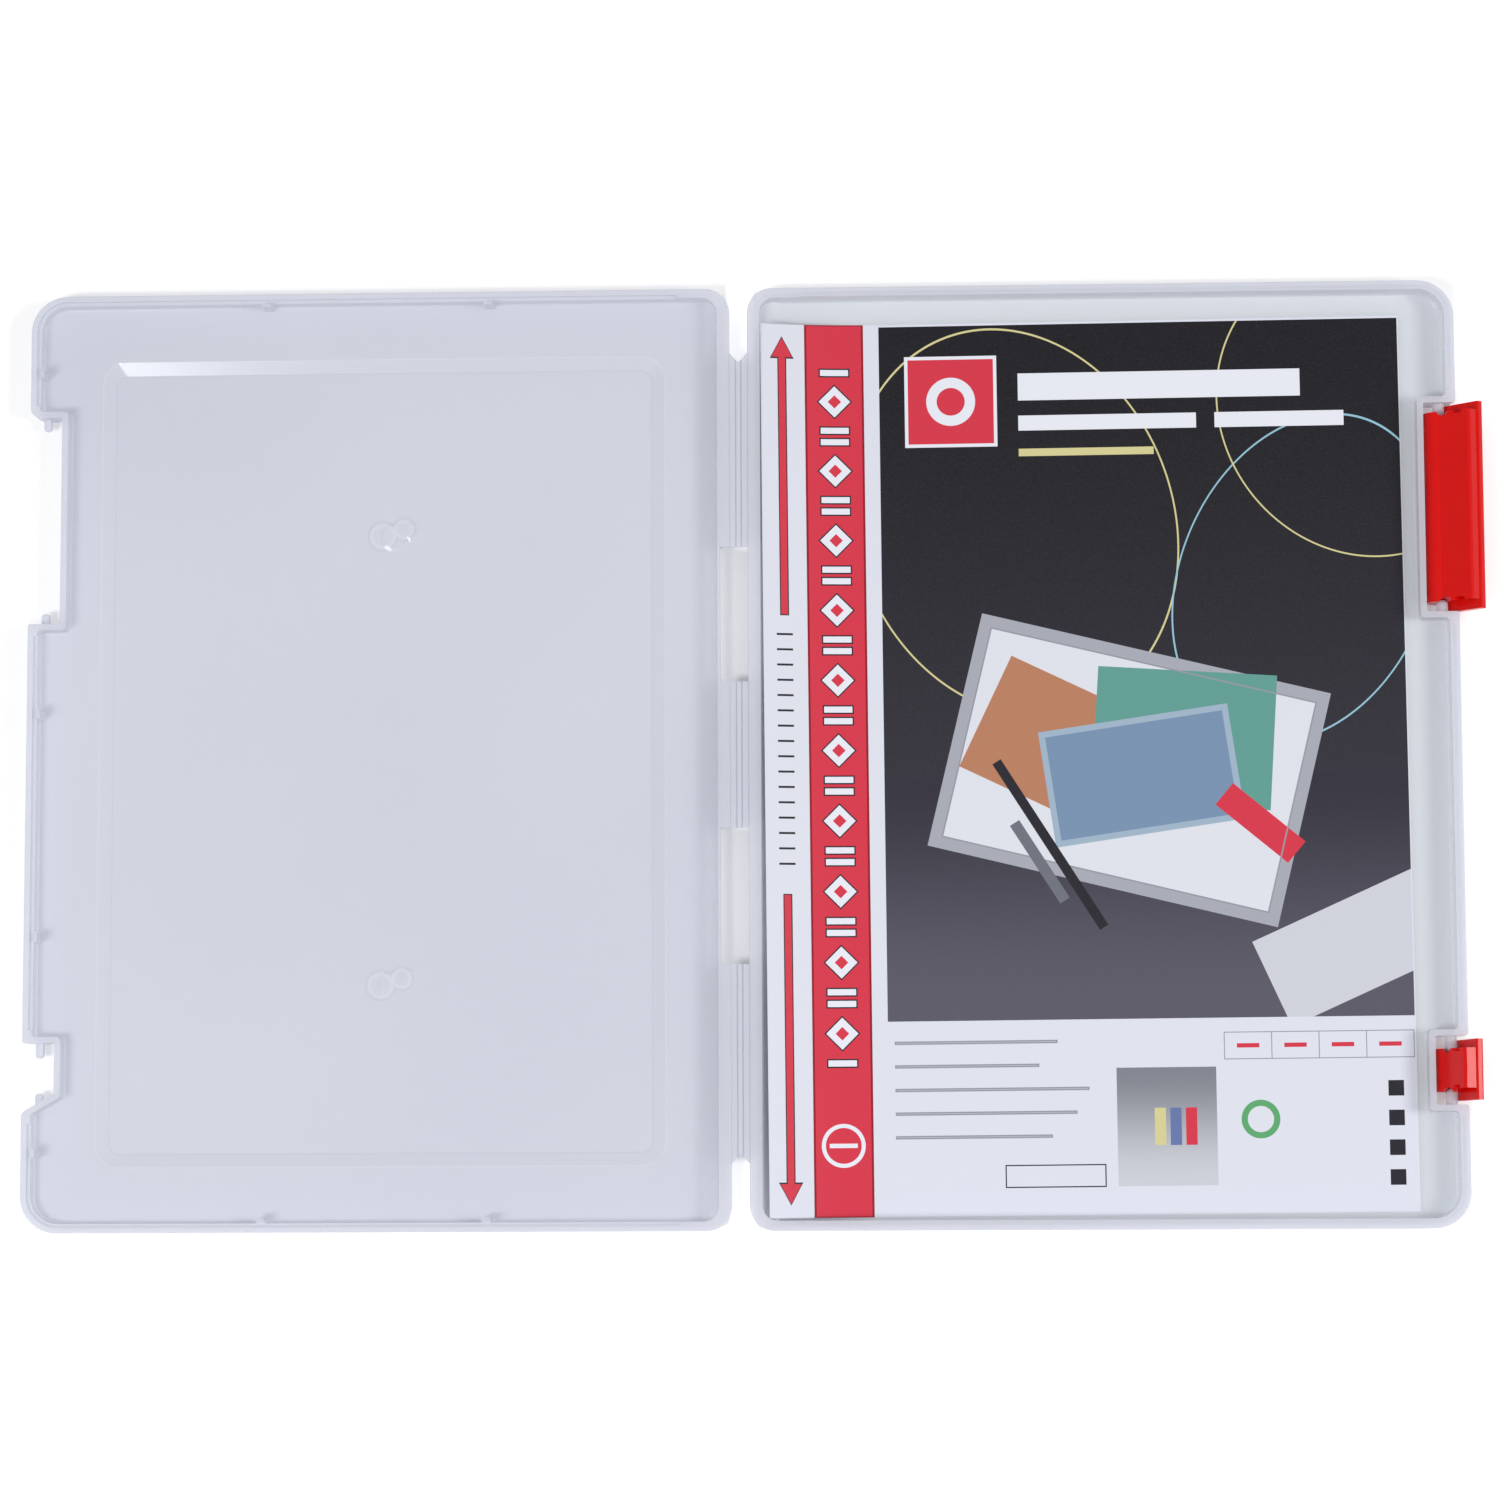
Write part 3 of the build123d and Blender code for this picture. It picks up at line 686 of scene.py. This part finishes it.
# The share of it that is taken off in the hinge's windows, and the glow that is added at two other places
window_shade = 0.85
end_gap_glow = 0.34
right_side_glow = 0.18

# The shade of the windows is centred this far from the fold, towards the base
window_shift = 1.9 * mm

# Distances over which these places fade out
window_side_fade = (1.0 * mm, 4.5 * mm)
window_fade_outside = 1.0 * mm
window_fade_inside = 0.5 * mm
end_gap_side_fade = (3.5 * mm, 5.0 * mm)
end_gap_fade = 3.0 * mm
right_side_fade = 4.0 * mm


def window_share(m, across, from_middle, start, end):
    """Share of the glow taken off at a place, over the two windows between the webs of the hinge."""
    after_start = m.ramp(from_middle, start - window_fade_outside, start + window_fade_inside)
    before_end = m.ramp(from_middle, end - window_fade_inside, end + window_fade_outside, low=1.0, high=0.0)
    from_line = m.distance(across, fold[0] + window_shift)
    near_line = m.ramp(from_line, *window_side_fade, low=window_shade, high=0.0)
    return m.math("MULTIPLY", m.math("MULTIPLY", after_start, before_end), near_line)


def table_level(m):
    """Glow of the table: less in the hinge's windows, more in the gaps at its ends and right of the case."""
    across, along, _ = m.axes(m.place())
    outer_webs = [abs(y) for name in ("base_web_left", "base_web_right") for _, y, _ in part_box(name)]
    window_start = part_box("base_web_middle")[1][1]
    window_end = min(outer_webs)
    hinge_end = max(outer_webs)
    right_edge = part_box("base_tray")[1][0]
    from_middle = m.math("ABSOLUTE", along)
    shaded = window_share(m, across, from_middle, window_start, window_end)
    near_fold = m.ramp(m.distance(across, fold[0]), *end_gap_side_fade, low=1.0, high=0.0)
    in_end_gap = m.math("MULTIPLY", m.ramp(from_middle, hinge_end - end_gap_fade, hinge_end), near_fold)
    right_of_case = m.ramp(across, right_edge, right_edge + right_side_fade)
    level = m.math("MULTIPLY", table_glow, m.math("SUBTRACT", 1.0, shaded))
    level = m.math("ADD", level, m.math("MULTIPLY", in_end_gap, end_gap_glow))
    return m.math("ADD", level, m.math("MULTIPLY", right_of_case, right_side_glow))


def floor():
    """White table top that keeps shadows. It glows a little to the camera, so that it reads as white."""
    m = Material("table_top")
    path = m.node("ShaderNodeLightPath")
    seen = m.math("ADD", path.outputs["Is Camera Ray"], path.outputs["Is Glossy Ray"], clamp=True)
    matt = m.shader("ShaderNodeBsdfDiffuse", Color=(0.93, 0.93, 0.93, 1))
    strength = m.math("MULTIPLY", seen, table_level(m))
    glow = m.shader("ShaderNodeEmission", Color=(1, 1, 1, 1), Strength=strength)
    both = m.node("ShaderNodeAddShader")
    m.put(both.inputs[0], matt)
    m.put(both.inputs[1], glow)
    material = m.finish(both.outputs[0])
    # A hair below the case, so that their faces don't share a plane
    below = 0.2 * mm
    bpy.ops.mesh.primitive_plane_add(size=12, location=(0, 0, -below))
    top = bpy.context.object
    top.name = "table_top"
    top.data.materials.append(material)


def surroundings():
    """Even white room, which the camera sees brighter than it lights the case."""
    room_light = 0.46
    room_seen = 1.0
    world = bpy.data.worlds.new("white_room")
    bpy.context.scene.world = world
    world.use_nodes = True
    nodes = world.node_tree.nodes
    links = world.node_tree.links
    back = nodes["Background"]
    back.inputs["Color"].default_value = (1, 1, 1, 1)
    path = nodes.new("ShaderNodeLightPath")
    level = nodes.new("ShaderNodeMapRange")
    level.inputs["To Min"].default_value = room_light
    level.inputs["To Max"].default_value = room_seen
    links.new(path.outputs["Is Camera Ray"], level.inputs["Value"])
    links.new(level.outputs[0], back.inputs["Strength"])


def softbox(name, place, size, energy):
    """Rectangular lamp with its sides along the case, turned towards the fold line."""
    lamp = bpy.data.lights.new(name, "AREA")
    lamp.shape = "RECTANGLE"
    lamp.size, lamp.size_y = size
    lamp.energy = energy
    thing = bpy.data.objects.new(name, lamp)
    bpy.context.scene.collection.objects.link(thing)
    thing.location = place
    thing.rotation_euler = (0, atan2(place[0] - fold[0], place[2]), 0)


def camera():
    """Camera of the photo: above the case, a little towards the viewer's side, with a long lens."""
    # Solved from the corners of the rims in the photo
    right_of_fold, towards_viewer, above = 63.7 * mm, 153.9 * mm, 1451.1 * mm
    tilt, lean, roll = 6.15, 2.38, -0.46
    data = bpy.data.cameras.new("camera")
    data.sensor_width = 36
    data.lens = 107.5
    data.clip_end = 50
    thing = bpy.data.objects.new("camera", data)
    bpy.context.scene.collection.objects.link(thing)
    thing.location = (fold[0] + right_of_fold, -towards_viewer, above)
    thing.rotation_mode = "ZYX"
    thing.rotation_euler = (radians(tilt), radians(lean), radians(roll))
    bpy.context.scene.camera = thing


floor()
surroundings()
softbox("left_softbox", place=(-0.80, -0.42, 1.45), size=(0.5, 0.3), energy=10)
softbox("right_softbox", place=(1.3, -0.1, 1.45), size=(0.6, 0.6), energy=14)
camera()
bpy.context.scene.view_settings.view_transform = "Standard"
